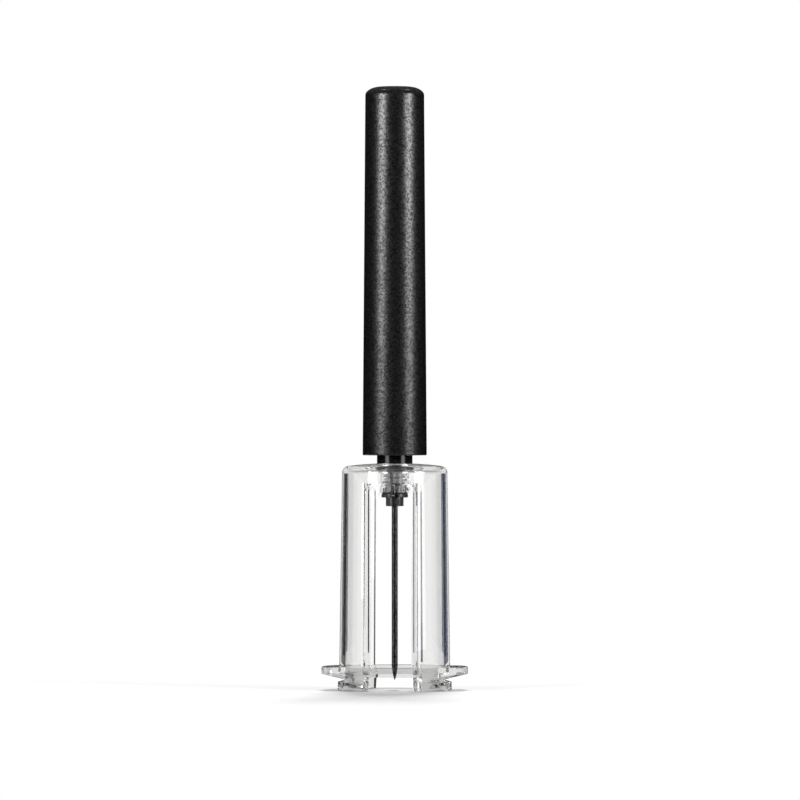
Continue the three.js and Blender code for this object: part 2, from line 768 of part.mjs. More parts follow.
// Domed end of the handle, with a skirt that plugs the bore.
function handleCap() {
  const skirtRadius = handleBore - seatGap;
  const rimRadius = handleHeadRadius - handleHeadCorner * (1 - Math.cos(headSweep)) - capInset;
  const dome = (r) => capDome - (capDome - capRim) * (r / rimRadius) ** 5;
  const crown = [90, 75, 60, 45, 30, 0].map((a) => rimRadius * Math.sin(THREE.MathUtils.degToRad(a)));
  return revolve([
    [0, capDome - capWall],
    [skirtRadius - capWall, dome(skirtRadius) - capWall],
    [skirtRadius - capWall, -capSkirt],
    [skirtRadius, -capSkirt],
    [skirtRadius, 0],
    [rimRadius, 0],
    ...crown.map((r) => [r, dome(r)]),
  ]);
}
add("handle_cap", handleCap(), blackHandle, handleTop + seatGap);

// Disc fixed in the handle's head, which carries the rod.
function rodAnchor() {
  const hole = screwRadius + runGap;
  const pocket = rodRadius + runGap;
  return revolve([
    [pocket, 0],
    [handleBore - seatGap, 0],
    [handleBore - seatGap, anchorThickness],
    [hole, anchorThickness],
    [hole, anchorPocketDepth],
    [pocket, anchorPocketDepth],
    [pocket, 0],
  ]);
}
add("rod_anchor", rodAnchor(), blackPlastic, anchorBottom);

// Bush in the handle's mouth, which runs on the barrel.
add(
  "mouth_bush",
  ring(barrelRadius + runGap, handleBore - seatGap, 0, mouthBushLength),
  blackPlastic,
  handleBottom + mouthBushInset,
);

export default opener;
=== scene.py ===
# %% [markdown]
# # A wine opener that pumps air
#
# The part is a slim black handle that slides on a pump tube, a hollow needle under it, and a clear sleeve
# that drops over the neck of a bottle. Its solids are already packed, each in its place. This script
# loads them as a fixed frame, models the pieces that show with finer curves, and gives every piece the
# finish of the real thing. The order is that of the workshop: camera, tools, finishes, pieces, light.

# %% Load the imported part
import math

import bmesh
import bpy
from mathutils import Matrix, Vector


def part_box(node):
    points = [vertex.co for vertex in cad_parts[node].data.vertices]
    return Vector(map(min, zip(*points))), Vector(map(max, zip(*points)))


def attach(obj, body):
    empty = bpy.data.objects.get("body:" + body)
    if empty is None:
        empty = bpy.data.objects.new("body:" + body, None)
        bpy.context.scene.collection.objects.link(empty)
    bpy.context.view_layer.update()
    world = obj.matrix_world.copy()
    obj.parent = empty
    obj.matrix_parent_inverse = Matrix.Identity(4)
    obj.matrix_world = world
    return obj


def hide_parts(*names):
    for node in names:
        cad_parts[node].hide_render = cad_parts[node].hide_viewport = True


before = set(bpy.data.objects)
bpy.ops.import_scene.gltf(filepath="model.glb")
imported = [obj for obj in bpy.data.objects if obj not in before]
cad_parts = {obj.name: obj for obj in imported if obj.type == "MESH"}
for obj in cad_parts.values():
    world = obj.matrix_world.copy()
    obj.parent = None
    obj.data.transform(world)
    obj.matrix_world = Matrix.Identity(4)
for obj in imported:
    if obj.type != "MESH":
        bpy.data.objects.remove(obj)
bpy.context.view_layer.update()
scene = bpy.context.scene

# %% [markdown]
# The camera comes first, because every later choice is judged through it. It looks at the opener from far
# away with a long lens, level with the middle of its height and a few degrees to the right of its front.
# A long lens keeps the sleeve's ellipses flat. An orthographic camera would do so too, but it would lose
# the small difference between the near rim and the far rim.

# %% Camera
CAMERA_AZIMUTH = 5.2  # degrees to the right of the front
CAMERA_DISTANCE = 2.75
CAMERA_HEIGHT = 0.1044
VIEW_WIDTH = 0.288  # metres across the frame at the opener's axis
AXIS_OFFSET = 0.0019  # the opener stands this far left of the frame's middle


def around(azimuth, distance, height):
    """A place at a distance from the opener's axis, at an azimuth in degrees from its front."""
    turn = math.radians(azimuth)
    return Vector((math.sin(turn) * distance, -math.cos(turn) * distance, height))


def look(thing, target):
    """Turns a camera or lamp so that its -Z axis points at the target."""
    thing.rotation_euler = (target - thing.location).to_track_quat("-Z", "Y").to_euler()


camera = bpy.data.objects.new("camera", bpy.data.cameras.new("camera"))
scene.collection.objects.link(camera)
aside = around(CAMERA_AZIMUTH + 90, AXIS_OFFSET, 0)
camera.location = around(CAMERA_AZIMUTH, CAMERA_DISTANCE, CAMERA_HEIGHT) + aside
look(camera, around(0, 0, CAMERA_HEIGHT) + aside)
camera.data.lens = camera.data.sensor_width * CAMERA_DISTANCE / VIEW_WIDTH
camera.data.clip_end = 50
scene.camera = camera
print("camera:", round(camera.data.lens), "mm lens")

# %% [markdown]
# Most pieces of the opener are turned, so the main tool is a lathe. An outline of lines and arcs is drawn
# in the plane y = 0 and spun once round the Z axis. Each step of an outline is a corner (radius, height)
# in millimetres, and a third number bends the line into an arc that turns by so many degrees.

# %% The lathe
MM = 0.001
FINE = 200  # steps round the axis on the pieces that show
ARC_STEP = 8  # degrees in one step of an arc
WELD = 1e-4  # corners closer than this many millimetres become one
FIT = 0.05  # millimetres left between pieces that sit tight
RUN_GAP = 0.1  # millimetres left between faces that slide or screw


def arc_centre(start, end, turn):
    """The centre of the arc that leads from start to end and turns left by so many degrees."""
    chord = end - start
    left = Vector((-chord.y, chord.x))
    return (start + end) / 2 + left / (2 * math.tan(math.radians(turn) / 2))


def outline(bm, steps):
    """Draws the outline's corners and edges and returns its first and last corner."""
    first = last = bm.verts.new((steps[0][0], 0, steps[0][1]))
    for r, z, *turn in steps[1:]:
        if not turn:
            corner = bm.verts.new((r, 0, z))
            bm.edges.new((last, corner))
            last = corner
            continue
        centre = arc_centre(Vector((last.co.x, last.co.z)), Vector((r, z)), turn[0])
        swept = bmesh.ops.spin(
            bm,
            geom=[last],
            cent=(centre.x, 0, centre.y),
            axis=(0, -1, 0),
            angle=math.radians(turn[0]),
            steps=max(2, round(abs(turn[0]) / ARC_STEP)),
        )
        last = swept["geom_last"][0]
    return first, last


def turned(steps, around_steps=FINE, closed=True):
    """Spins an outline round Z. A closed outline makes a ring, an open one starts and ends on the axis."""
    bm = bmesh.new()
    first, last = outline(bm, steps)
    if closed:
        bm.edges.new((last, first))
    bmesh.ops.spin(
        bm,
        geom=bm.verts[:] + bm.edges[:],
        cent=(0, 0, 0),
        axis=(0, 0, 1),
        angle=2 * math.pi,
        steps=around_steps,
        use_merge=True,
    )
    bmesh.ops.remove_doubles(bm, verts=bm.verts, dist=WELD)
    bmesh.ops.recalc_face_normals(bm, faces=bm.faces)
    return bm


def ring(inner, outer, low, high):
    """A plain ring with a square section."""
    return turned([(inner, low), (outer, low), (outer, high), (inner, high)])


print("lathe:", FINE, "steps round the axis")

# %% [markdown]
# A finished mesh becomes a piece: it is scaled to metres, shaded smooth except at real edges, and tied to
# the body that it moves with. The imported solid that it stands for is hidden, and stays in the simulation.
# The modifier for weighted normals keeps large flat faces flat beside small rounded ones.

# %% From mesh to piece
EDGE_ANGLE = math.radians(32)


def level(node, side=1):
    """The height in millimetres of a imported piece's foot (0) or top (1)."""
    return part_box(node)[side].z / MM


def reach(node):
    """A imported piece's radius in millimetres."""
    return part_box(node)[1].x / MM


def piece(name, bm, body, finish, stands_for):
    """Makes an object of a mesh drawn in millimetres, and hides the solids that it stands for."""
    bmesh.ops.scale(bm, vec=(MM, MM, MM), verts=bm.verts)
    mesh = bpy.data.meshes.new(name)
    bm.to_mesh(mesh)
    bm.free()
    mesh.shade_smooth()
    mesh.set_sharp_from_angle(angle=EDGE_ANGLE)
    mesh.materials.append(finish)
    made = bpy.data.objects.new(name, mesh)
    scene.collection.objects.link(made)
    shading = made.modifiers.new("even_shading", "WEIGHTED_NORMAL")
    shading.keep_sharp = True
    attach(made, body)
    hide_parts(*stands_for)
    print(f"{name}: {len(mesh.polygons)} faces, rides on {body}")
    return made


# %% [markdown]
# Windows, grooves and joined blocks need one mesh cut by another. Cutting by hand, face by face, would be
# long and easy to get wrong, so two meshes are given to the Boolean modifier for a moment. Its exact
# solver needs closed meshes. The result is counted for open seams before it is used.

# %% Cut and join
TURNS_TRIED = (0, 1e-5, -1e-5, 2e-5)  # radians, far too little to see


def combined(base, other, operation):
    """Joins, cuts or intersects two closed meshes, and returns the result as one closed mesh.

    Where two faces nearly coincide, the solver can leave seams open. Then the second mesh is turned
    by a hair and the step is done again, and the result with the fewest open seams is kept.
    """
    objects = []
    for bm in (base, other):
        mesh = bpy.data.meshes.new("blank")
        bm.to_mesh(mesh)
        bm.free()
        blank = bpy.data.objects.new("blank", mesh)
        scene.collection.objects.link(blank)
        objects.append(blank)
    step = objects[0].modifiers.new("step", "BOOLEAN")
    step.operation = operation
    step.object = objects[1]
    step.solver = "EXACT"
    result, fewest = None, math.inf
    for turn in TURNS_TRIED:
        objects[1].rotation_euler.z = turn
        bpy.context.view_layer.update()
        tried = bmesh.new()
        tried.from_object(objects[0], bpy.context.evaluated_depsgraph_get())
        bmesh.ops.remove_doubles(tried, verts=tried.verts, dist=WELD)
        seams = sum(not edge.is_manifold for edge in tried.edges)
        if seams < fewest:
            result, fewest = tried, seams
        if not fewest:
            break
    for blank in objects:
        mesh = blank.data
        bpy.data.objects.remove(blank)
        bpy.data.meshes.remove(mesh)
    return result


# %% [markdown]
# Finishes share a few effects, and each effect is a node group that is built once. Two short helpers
# keep the node code readable: one adds a node with its settings, the other opens a group with sockets.

# %% Node helpers
def node(tree, kind, **settings):
    """Adds a node, and sets its properties and the inputs named in values."""
    made = tree.nodes.new(kind)
    values = settings.pop("values", {})
    for key, value in settings.items():
        setattr(made, key, value)
    for key, value in values.items():
        made.inputs[key].default_value = value
    return made


def group(name, inputs, outputs):
    """A shader node group with float or vector sockets, its input node and its output node."""
    tree = bpy.data.node_groups.new(name, "ShaderNodeTree")
    for label, value in inputs.items():
        kind = "NodeSocketVector" if value is None else "NodeSocketFloat"
        socket = tree.interface.new_socket(name=label, in_out="INPUT", socket_type=kind)
        if value is not None:
            socket.default_value = value
    for label in outputs:
        tree.interface.new_socket(name=label, in_out="OUTPUT", socket_type="NodeSocketFloat")
    return tree, node(tree, "NodeGroupInput"), node(tree, "NodeGroupOutput")


# %% [markdown]
# The first effect is the skin of a moulded or sprayed surface: fine grain, a sparkle of single grains, and
# soft smudges from handling. A picture of such a surface could be wrapped on, but noise on the object's own
# coordinates needs no seams and has the right scale on every piece. The group puts out masks and a height
# only, and each finish decides how much of them to use.

# %% Skin effect
SMUDGES_PER_METRE = 60.0


def skin_group():
    """Masks and a height for the skin of plastic, rubber and coatings."""
    tree, given, result = group(
        "skin",
        {"Position": None, "Grain Per Metre": 2000.0, "Smudge Per Metre": SMUDGES_PER_METRE},
        ["Height", "Sparkle", "Smudge"],
    )
    link = tree.links.new
    grain = node(tree, "ShaderNodeTexNoise", values={"Detail": 2.0, "Roughness": 0.6})
    link(given.outputs["Position"], grain.inputs["Vector"])
    link(given.outputs["Grain Per Metre"], grain.inputs["Scale"])
    link(grain.outputs["Fac"], result.inputs["Height"])
    sparkle = node(tree, "ShaderNodeTexVoronoi", feature="F1")
    link(given.outputs["Position"], sparkle.inputs["Vector"])
    link(given.outputs["Grain Per Metre"], sparkle.inputs["Scale"])
    shade = node(tree, "ShaderNodeSeparateColor")
    link(sparkle.outputs["Color"], shade.inputs["Color"])
    link(shade.outputs["Red"], result.inputs["Sparkle"])
    smudge = node(tree, "ShaderNodeTexNoise", values={"Detail": 4.0, "Distortion": 0.4})
    link(given.outputs["Position"], smudge.inputs["Vector"])
    link(given.outputs["Smudge Per Metre"], smudge.inputs["Scale"])
    link(smudge.outputs["Fac"], result.inputs["Smudge"])
    return tree


SKIN = skin_group()
print("effect group:", SKIN.name)

# %% [markdown]
# The second effect is what a lathe or a drawing die leaves on metal: fine rings round the axis. Noise
# that is stretched sideways until it hardly changes round the piece gives such rings, each a bit different.

# %% Turning marks effect
def marks_group():
    """A height for the rings that turning and drawing leave on metal."""
    tree, given, result = group("turning_marks", {"Position": None, "Marks Per Metre": 4000.0}, ["Height"])
    link = tree.links.new
    flat = node(tree, "ShaderNodeMapping", vector_type="POINT", values={"Scale": (0.03, 0.03, 1.0)})
    link(given.outputs["Position"], flat.inputs["Vector"])
    marks = node(tree, "ShaderNodeTexNoise", values={"Detail": 3.0, "Roughness": 0.7})
    link(flat.outputs["Vector"], marks.inputs["Vector"])
    link(given.outputs["Marks Per Metre"], marks.inputs["Scale"])
    link(marks.outputs["Fac"], result.inputs["Height"])
    return tree


MARKS = marks_group()
print("effect group:", MARKS.name)

# %% [markdown]
# A finish is one Principled shader. Its colour and roughness swing between two values with a mask, and a
# bump takes the effect's height, so nothing on the opener is a single flat colour.

# %% Finish helper
def swing(tree, mask, low, high, centre=0.5, spread=0.5):
    """Maps a mask onto a range of values."""
    made = node(tree, "ShaderNodeMapRange")
    made.inputs["From Min"].default_value = centre - spread
    made.inputs["From Max"].default_value = centre + spread
    made.inputs["To Min"].default_value = low
    made.inputs["To Max"].default_value = high
    tree.links.new(mask, made.inputs["Value"])
    return made.outputs["Result"]


def blend(tree, mask, first, second):
    """Mixes two colours by a mask."""
    made = node(tree, "ShaderNodeMix", data_type="RGBA")
    made.inputs[6].default_value = (*first, 1)
    made.inputs[7].default_value = (*second, 1)
    tree.links.new(mask, made.inputs["Factor"])
    return made.outputs[2]


def finish_start(name, effect, **values):
    """A new material with one Principled shader and one effect that reads Object coordinates."""
    material = bpy.data.materials.new(name)
    material.use_nodes = True
    tree = material.node_tree
    shader = tree.nodes["Principled BSDF"]
    place = node(tree, "ShaderNodeTexCoord")
    made = node(tree, "ShaderNodeGroup", node_tree=effect, values=values)
    tree.links.new(place.outputs["Object"], made.inputs["Position"])
    return material, tree, shader, made


def bumped(tree, shader, height, depth, strength):
    """A bump of so many metres under the shader."""
    bump = node(tree, "ShaderNodeBump", values={"Distance": depth, "Strength": strength})
    tree.links.new(height, bump.inputs["Height"])
    tree.links.new(bump.outputs["Normal"], shader.inputs["Normal"])


# %% [markdown]
# The handle's black is sand-textured: each tiny grain is its own small mirror. Bump alone gives wavy
# highlights, because neighbouring points lean alike, so a coat comes and goes from grain to grain and the
# highlights break up into fine points. The tube and the nut are smoother blacks, and rubber has no shine.

# %% Black finishes
COAT_IOR = 1.6


def skin_finish(name, dark, light, gloss, grain, depth, strength, specular=0.5, glint=0.0):
    """A finish with skin: two colours, two roughness values, and the grain's size, depth and glint."""
    material, tree, shader, skin = finish_start(
        name, SKIN, **{"Grain Per Metre": grain, "Smudge Per Metre": SMUDGES_PER_METRE}
    )
    colour = blend(tree, skin.outputs["Sparkle"], dark, light)
    tree.links.new(colour, shader.inputs["Base Color"])
    rough = swing(tree, skin.outputs["Smudge"], *gloss, spread=0.2)
    tree.links.new(rough, shader.inputs["Roughness"])
    shader.inputs["Specular IOR Level"].default_value = specular
    if glint:
        shader.inputs["Coat Roughness"].default_value = gloss[0]
        shader.inputs["Coat IOR"].default_value = COAT_IOR
        tree.links.new(swing(tree, skin.outputs["Sparkle"], 0.0, glint), shader.inputs["Coat Weight"])
    bumped(tree, shader, skin.outputs["Height"], depth, strength)
    return material


HANDLE_BLACK = skin_finish(
    "handle_satin_black", (0.002, 0.002, 0.0022), (0.006, 0.006, 0.0065),
    gloss=(0.32, 0.37), grain=1900.0, depth=0.0002, strength=0.3, specular=0.18, glint=1.0,
)
GLOSS_BLACK = skin_finish(
    "gloss_black", (0.006, 0.006, 0.007), (0.008, 0.008, 0.009),
    gloss=(0.12, 0.18), grain=900.0, depth=0.00002, strength=0.1, specular=0.6,
)
NEEDLE_BLACK = skin_finish(
    "needle_coating", (0.001, 0.001, 0.001), (0.004, 0.004, 0.004),
    gloss=(0.3, 0.4), grain=1900.0, depth=0.00005, strength=0.3, specular=0.2, glint=1.0,
)
RUBBER_BLACK = skin_finish(
    "rubber", (0.010, 0.010, 0.010), (0.016, 0.016, 0.015),
    gloss=(0.65, 0.85), grain=3000.0, depth=0.00005, strength=0.5,
)
IVORY = skin_finish(
    "bearing_plastic", (0.76, 0.73, 0.64), (0.80, 0.77, 0.69),
    gloss=(0.38, 0.5), grain=1500.0, depth=0.00002, strength=0.2,
)
print("finishes:", HANDLE_BLACK.name, GLOSS_BLACK.name, NEEDLE_BLACK.name, RUBBER_BLACK.name, IVORY.name)

# %% [markdown]
# The rod, nuts and spring inside are turned or drawn steel. The marks change its colour and its roughness
# a little, and the shader is plain metal.

# %% Steel
def steel_finish():
    """Bare steel with turning marks."""
    material, tree, shader, marks = finish_start("turned_steel", MARKS, **{"Marks Per Metre": 5000.0})
    colour = blend(tree, marks.outputs["Height"], (0.50, 0.51, 0.53), (0.66, 0.67, 0.68))
    tree.links.new(colour, shader.inputs["Base Color"])
    rough = swing(tree, marks.outputs["Height"], low=0.16, high=0.34)
    tree.links.new(rough, shader.inputs["Roughness"])
    shader.inputs["Metallic"].default_value = 1
    bumped(tree, shader, marks.outputs["Height"], depth=0.00002, strength=0.3)
    return material


STEEL = steel_finish()
print("metal finish:", STEEL.name)

# %% [markdown]
# Clear plastic could be faked with a see-through surface, but then its edges would not bend the view.
# Here it is real glass in the shader, with the bend of acrylic and a faint unevenness of moulding. Light
# from the lamps would need very long renders to find its way through, so for shadows alone the plastic is
# a light grey filter. The base is thick and full of small faces. Its darker grey tint is painted shade: it
# stands in for the shade of the floor and surroundings seen through it.

# %% Clear plastic
PLASTIC_IOR = 1.49
SHADOW_TINT = (0.66, 0.67, 0.67, 1)


def clear_finish(name, dark, light):
    """Clear plastic, tinted between two colours."""
    material, tree, shader, skin = finish_start(
        name, SKIN, **{"Grain Per Metre": 160.0, "Smudge Per Metre": 45.0}
    )
    colour = blend(tree, skin.outputs["Smudge"], dark, light)
    tree.links.new(colour, shader.inputs["Base Color"])
    rough = swing(tree, skin.outputs["Smudge"], low=0.0, high=0.02, spread=0.25)
    tree.links.new(rough, shader.inputs["Roughness"])
    shader.inputs["IOR"].default_value = PLASTIC_IOR
    shader.inputs["Transmission Weight"].default_value = 1
    bumped(tree, shader, skin.outputs["Height"], depth=0.00004, strength=0.15)
    path = node(tree, "ShaderNodeLightPath")
    through = node(tree, "ShaderNodeBsdfTransparent")
    through.inputs["Color"].default_value = SHADOW_TINT
    lamps = node(tree, "ShaderNodeMixShader")
    tree.links.new(path.outputs["Is Shadow Ray"], lamps.inputs["Fac"])
    tree.links.new(shader.outputs["BSDF"], lamps.inputs[1])
    tree.links.new(through.outputs["BSDF"], lamps.inputs[2])
    tree.links.new(lamps.outputs["Shader"], tree.nodes["Material Output"].inputs["Surface"])
    return material


CLEAR = clear_finish("clear_plastic", (0.93, 0.932, 0.925), (0.95, 0.952, 0.945))
# The base's tint is much darker than the sleeve's. It is painted shade, not a colour of the plastic.
CLEAR_PAINTED_SHADE = clear_finish("clear_painted_shade", (0.70, 0.702, 0.695), (0.78, 0.782, 0.775))
print("finishes:", ", ".join(m.name for m in bpy.data.materials if not m.name.startswith("Material")))

# %% [markdown]
# The handle is a moulded tube with a fine satin texture. It grows a little wider towards its foot, where a
# small fillet catches the light. At its head a rounded corner runs up to the seam of a domed end cap.

# %% Handle tube
foot, head = level("handle_shell", 0), level("handle_shell")
HANDLE_BORE = 8.8
HEAD_RADIUS = 10.6
FOOT_FILLET = 0.4
HEAD_CORNER = 2.0
HEAD_SWEEP = math.radians(55)

foot_radius = reach("handle_shell")
corner_level = head - HEAD_CORNER * math.sin(HEAD_SWEEP)
seam_radius = HEAD_RADIUS - HEAD_CORNER * (1 - math.cos(HEAD_SWEEP))
handle_tube = turned([
    (HANDLE_BORE, foot),
    (foot_radius - FOOT_FILLET, foot),
    (foot_radius, foot + FOOT_FILLET, 90),
    (HEAD_RADIUS, corner_level),
    (seam_radius, head, math.degrees(HEAD_SWEEP)),
    (HANDLE_BORE, head),
])
piece("handle_tube", handle_tube, "handle_body", HANDLE_BLACK, ["handle_shell"])

# %% [markdown]
# The cap is a push-in plug with a low dome. A circle's arc would be too round: the real one is almost flat
# and drops only near its rim. A power curve does that, with its steps packed closer together near the rim.

# %% Handle end
CAP_INSET = 0.1
CAP_RIM = 0.1
CAP_WALL = 1
CAP_SLOPE = 0.4
CAP_SKIRT = 2.2
CROWN_STEPS = 14
CROWN_POWER = 5

cap_top = level("handle_cap")
rim_radius = seam_radius - CAP_INSET
skirt_radius = HANDLE_BORE - FIT


def crown(share):
    """The cap's height at a share of its radius: almost flat, then falling quickly to the rim."""
    return cap_top - (cap_top - head - CAP_RIM) * share**CROWN_POWER


crown_shares = [math.sin(math.pi / 2 * (1 - i / CROWN_STEPS)) for i in range(CROWN_STEPS + 1)]
handle_end = turned(
    [
        (0, cap_top - CAP_WALL),
        (skirt_radius - CAP_WALL, head - CAP_WALL + CAP_SLOPE),
        (skirt_radius - CAP_WALL, head - CAP_SKIRT),
        (skirt_radius, head - CAP_SKIRT),
        (skirt_radius, head),
        (rim_radius, head),
        *[(rim_radius * share, crown(share)) for share in crown_shares],
    ],
    closed=False,
)
piece("handle_end", handle_end, "handle_body", HANDLE_BLACK, ["handle_cap"])

# %% [markdown]
# The pump tube shows as a short glossy neck under the handle, and in full when the handle is drawn up. A
# bush in the handle's mouth slides on it. Both are plain rings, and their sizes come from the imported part.

# %% Handle mouth and pump tube
BARREL_BORE = 5.2

tube_radius = reach("pump_barrel")
mouth = ring(tube_radius + RUN_GAP, reach("mouth_bush"), level("mouth_bush", 0), level("mouth_bush"))
piece("handle_mouth", mouth, "handle_body", GLOSS_BLACK, ["mouth_bush"])
barrel_foot, barrel_top = level("pump_barrel", 0), level("pump_barrel")
pump_tube = ring(BARREL_BORE, tube_radius, barrel_foot, barrel_top)
piece("pump_tube", pump_tube, "barrel_body", GLOSS_BLACK, ["pump_barrel"])

# %% [markdown]
# The clear sleeve is one moulding, and all of its look comes from refraction, so its walls have their real
# thickness and its curves are fine. It is turned as a bell: a wall that widens downwards, a rounded
# shoulder, a low dome with a recess for the collar, and a boss that hangs under the thick roof. The
# roof's underside is flat. A thread, ribs, windows and fins follow in steps of their own.

# %% Clear sleeve, turned
SLEEVE_BASE, SLEEVE_TOP = 20.0, 18.95
WALL_BORE_BASE, WALL_BORE_TOP = 17.85, 17.2
BORE_BASE = 16.7
DOME_RISE = 0.8
ROOF = 2.6
SHOULDER, SHOULDER_TURN = 2.5, 78
DOME_TURN = 4
ROOF_FILLET = 0.9
RECESS_RADIUS = 7.55
BOSS_RADIUS, BOSS_LENGTH = 5.3, 8.3
THREAD_RADIUS, THREAD_DEPTH, THREAD_PITCH, THREAD_TURNS = 3.8, 0.55, 2.2, 3.0
THREAD_CORE = THREAD_RADIUS - THREAD_DEPTH

wall_foot = level("bottle_sleeve", 0)
dome_top = level("bottle_sleeve")
recess_floor = level("sleeve_gasket", 0) - FIT
boss_bottom = recess_floor - BOSS_LENGTH
shoulder = dome_top - DOME_RISE
under = dome_top - ROOF
turn_in = math.radians(SHOULDER_TURN)
edge_r = SLEEVE_TOP - SHOULDER + SHOULDER * math.cos(turn_in)
edge_z = shoulder - SHOULDER + SHOULDER * math.sin(turn_in)
bell = turned(
    [
        (WALL_BORE_BASE, wall_foot),
        (SLEEVE_BASE, wall_foot),
        (SLEEVE_TOP, shoulder - SHOULDER),
        (edge_r, edge_z, SHOULDER_TURN),
        (RECESS_RADIUS, dome_top, DOME_TURN),
        (RECESS_RADIUS, recess_floor),
        (THREAD_CORE + RUN_GAP, recess_floor),
        (THREAD_CORE + RUN_GAP, boss_bottom),
        (BOSS_RADIUS, boss_bottom),
        (BOSS_RADIUS, under),
        (WALL_BORE_TOP - ROOF_FILLET, under),
        (WALL_BORE_TOP, under - ROOF_FILLET, -90),
    ],
)
print("bell:", len(bell.faces), "faces")

# %% [markdown]
# A black plug screws into the boss, and the thread is what shows of it through the clear plastic. A thread
# could be only painted as rings, but light bends round its real ridge. One ridge serves twice: it is cut
# out of the boss here, a little fuller, and joined to the plug later.

# %% Clear sleeve, thread of the boss
THREAD_SIDES = 16
THREAD_STEPS = 64  # in one turn


def thread(section):
    """A round ridge wound round the core: a circle spun with a rise at each step."""
    bm = bmesh.new()
    bmesh.ops.create_circle(bm, cap_ends=True, radius=section, segments=THREAD_SIDES)
    upright = Matrix.Rotation(math.pi / 2, 3, "X")
    bmesh.ops.rotate(bm, cent=(0, 0, 0), matrix=upright, verts=bm.verts)
    rise = THREAD_PITCH * THREAD_TURNS
    low = recess_floor - THREAD_DEPTH - rise
    bmesh.ops.translate(bm, vec=(THREAD_CORE, 0, low), verts=bm.verts)
    steps = round(THREAD_TURNS * THREAD_STEPS)
    bmesh.ops.spin(
        bm, geom=bm.verts[:] + bm.edges[:] + bm.faces[:], cent=(0, 0, 0), axis=(0, 0, 1),
        dvec=(0, 0, rise / steps), angle=2 * math.pi * THREAD_TURNS, steps=steps,
    )
    bmesh.ops.recalc_face_normals(bm, faces=bm.faces)
    return bm


bell = combined(bell, thread(THREAD_DEPTH + RUN_GAP), "DIFFERENCE")
print("bell with its thread:", len(bell.faces), "faces")

# %% [markdown]
# Two ribs run up inside the wall, one on each side of the front window, and guide the lip of the bottle.
# Their outline is drawn flat at the foot, its inner corner is rounded, and it is pulled straight up.

# %% Clear sleeve, ribs
WINDOW_BELOW_ROOF = 4.3
WINDOW_HALF_ANGLE = 28.6
RIB_INNER, RIB_ROOT = 15.1, 18.4
RIB_THICKNESS, RIB_ROUND = 1.9, 1.6
BITE = 0.3
window_top = under - WINDOW_BELOW_ROOF


def ribs():
    """Two upright ribs beside the front window. Their rounded edges guide the bottle's lip."""
    bm = bmesh.new()
    corners = ((0, RIB_ROOT), (0, RIB_INNER), (RIB_THICKNESS, RIB_INNER), (RIB_THICKNESS, RIB_ROOT))
    outer = [bm.verts.new((x, -r, wall_foot)) for x, r in corners]
    bm.faces.new(outer)
    bmesh.ops.bevel(
        bm, geom=[outer[2]], offset=RIB_ROUND, offset_type="OFFSET", segments=10,
        profile=0.5, affect="VERTICES", material=-1,
    )
    pushed = bmesh.ops.extrude_face_region(bm, geom=bm.faces[:])
    moved = [v for v in pushed["geom"] if isinstance(v, bmesh.types.BMVert)]
    bmesh.ops.translate(bm, vec=(0, 0, window_top - wall_foot), verts=moved)
    turn = Matrix.Rotation(math.radians(WINDOW_HALF_ANGLE), 3, "Z")
    bmesh.ops.rotate(bm, cent=(0, 0, 0), matrix=turn, verts=bm.verts)
    bmesh.ops.mirror(bm, geom=bm.verts[:] + bm.edges[:] + bm.faces[:], axis="X", merge_dist=-1)
    bmesh.ops.recalc_face_normals(bm, faces=bm.faces)
    return bm


bell = combined(bell, ribs(), "UNION")
print("bell with ribs:", len(bell.faces), "faces")

# %% [markdown]
# Each window is a tall opening with straight radial sides and round upper corners. A box would leave sides
# that aren't square to the round wall, so the cutter is a slab that grows with its distance from the axis.

# %% Clear sleeve, windows
WINDOW_CORNER = 3.6
WINDOW_NEAR, WINDOW_FAR = 14.3, 22.0


def radial_slab(half_angle, low, high, near, far, corner=0.0):
    """Slabs with radial sides, one in front and one behind, that cut a tube between two distances."""
    spread = math.tan(math.radians(half_angle))
    bm = bmesh.new()
    half = far * spread
    places = ((-half, low), (half, low), (half, high), (-half, high))
    corners = [bm.verts.new((x, -far, z)) for x, z in places]
    bm.faces.new(corners)
    if corner:
        bmesh.ops.bevel(
            bm, geom=corners[2:], offset=corner, offset_type="OFFSET", segments=12,
            profile=0.5, affect="VERTICES", material=-1,
        )
    pushed = bmesh.ops.extrude_face_region(bm, geom=bm.faces[:])
    moved = [v for v in pushed["geom"] if isinstance(v, bmesh.types.BMVert)]
    bmesh.ops.scale(bm, vec=(near / far, 1, 1), verts=moved)
    bmesh.ops.translate(bm, vec=(0, far - near, 0), verts=moved)
    whole = bmesh.ops.duplicate(bm, geom=bm.verts[:] + bm.edges[:] + bm.faces[:])
    copied = [v for v in whole["geom"] if isinstance(v, bmesh.types.BMVert)]
    bmesh.ops.rotate(bm, cent=(0, 0, 0), matrix=Matrix.Rotation(math.pi, 3, "Z"), verts=copied)
    bmesh.ops.recalc_face_normals(bm, faces=bm.faces)
    return bm


windows = radial_slab(WINDOW_HALF_ANGLE, 0, window_top, WINDOW_NEAR, WINDOW_FAR, WINDOW_CORNER)
bell = combined(bell, windows, "DIFFERENCE")
print("bell with windows:", len(bell.faces), "faces")

# %% [markdown]
# Fins under the roof brace the boss, as in most moulded parts with a screw boss. One thin slanted plate is
# drawn from the side, given its thickness, and copied round the axis.

# %% Clear sleeve, fins
FIN_COUNT = 4
FIN_THICKNESS = 1.1
FIN_REACH = 14.6
FIN_TIP = 7
FIN_TIP_WIDTH = 0.6
FIN_DROP = 1.9


